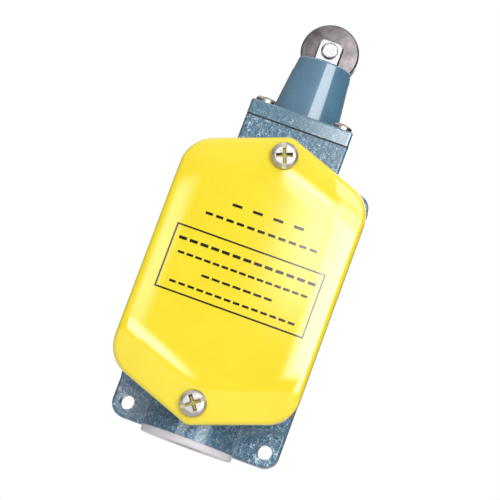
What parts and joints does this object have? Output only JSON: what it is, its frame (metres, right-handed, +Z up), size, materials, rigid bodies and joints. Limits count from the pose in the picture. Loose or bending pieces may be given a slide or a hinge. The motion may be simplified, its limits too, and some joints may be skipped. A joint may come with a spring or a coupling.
{
  "type": "roller plunger limit switch",
  "caption": "Die-cast limit switch: a sprung plunger with a steel roller works a double-break contact block behind a yellow hexagonal cover; wires enter through a gland below",
  "frame": {"origin": "on the flat rear face, midway between the two mounting holes", "axes": "+Z up the switch to the roller, -Y out of the cover, +X to the right seen from the cover side"},
  "size_m": [0.0568, 0.0454, 0.1352],
  "materials": {
    "body_paint": "hammertone blue-grey enamel",
    "turret_paint": "smooth glossy teal-blue enamel",
    "cover_paint": "glossy yellow enamel",
    "zinc": "bright zinc plating",
    "steel": "ground and hardened",
    "plated_steel": "bright nickel plating",
    "spring_steel": "drawn wire",
    "bronze": "turned bronze",
    "brass": "stamped strip",
    "silver": "contact silver",
    "phenolic": "moulded phenolic",
    "stem_plastic": "moulded nylon",
    "gland_plastic": "pale grey nylon",
    "rubber": "moulded nitrile"
  },
  "bodies": {
    "housing": {"housing": "body_paint", "head_casting": "turret_paint", "cover": "cover_paint", "cover_gasket": "rubber", "head_gasket": "rubber", "plunger_wiper": "rubber", "cable_grommet": "rubber", "cover_screws": "zinc", "head_screws": "zinc", "terminal_screws": "zinc", "contact_block_screws": "zinc", "earth_screw": "zinc", "earth_washer": "zinc", "terminal_clamps": "zinc", "gland_washer": "zinc", "return_spring": "spring_steel", "stem_spring": "spring_steel", "plunger_bush": "bronze", "contact_base": "phenolic", "contact_lid": "phenolic", "terminal_nc_left": "brass", "terminal_nc_right": "brass", "terminal_no_left": "brass", "terminal_no_right": "brass", "fixed_contact_rivets": "silver", "gland_nut": "gland_plastic"},
    "plunger": {"plunger": "plated_steel", "roller_pin": "plated_steel", "spring_retainer": "steel", "retaining_ring": "spring_steel"},
    "roller": {"roller": "steel"},
    "contact_stem": {"contact_stem": "stem_plastic"},
    "contact_bridge": {"contact_bridge": "brass", "bridge_rivets": "silver", "contact_spring": "spring_steel"}
  },
  "joints": [
    {"name": "plunger_slide", "type": "slide", "parent": "housing", "child": "plunger", "axis": [0, 0, -1], "range_m": [0, 0.005], "stiffness_N_per_m": 1500, "springref_m": -0.0053, "deforming": ["return_spring"]},
    {"name": "roller_spin", "type": "hinge", "parent": "plunger", "child": "roller", "pos_m": [0, -0.018, 0.1194], "axis": [0, 1, 0], "continuous": true},
    {"name": "contact_stem_slide", "type": "slide", "parent": "housing", "child": "contact_stem", "axis": [0, 0, -1], "range_m": [0, 0.005], "deforming": ["stem_spring", "contact_spring"]},
    {"name": "contact_bridge_slide", "type": "slide", "parent": "housing", "child": "contact_bridge", "axis": [0, 0, -1], "range_m": [0, 0.003]}
  ],
  "couplings": [
    {"joint": "contact_stem_slide", "follows": "plunger_slide", "ratio": 1},
    {"joint": "contact_bridge_slide", "follows": "plunger_slide", "ratio": 0.6}
  ]
}
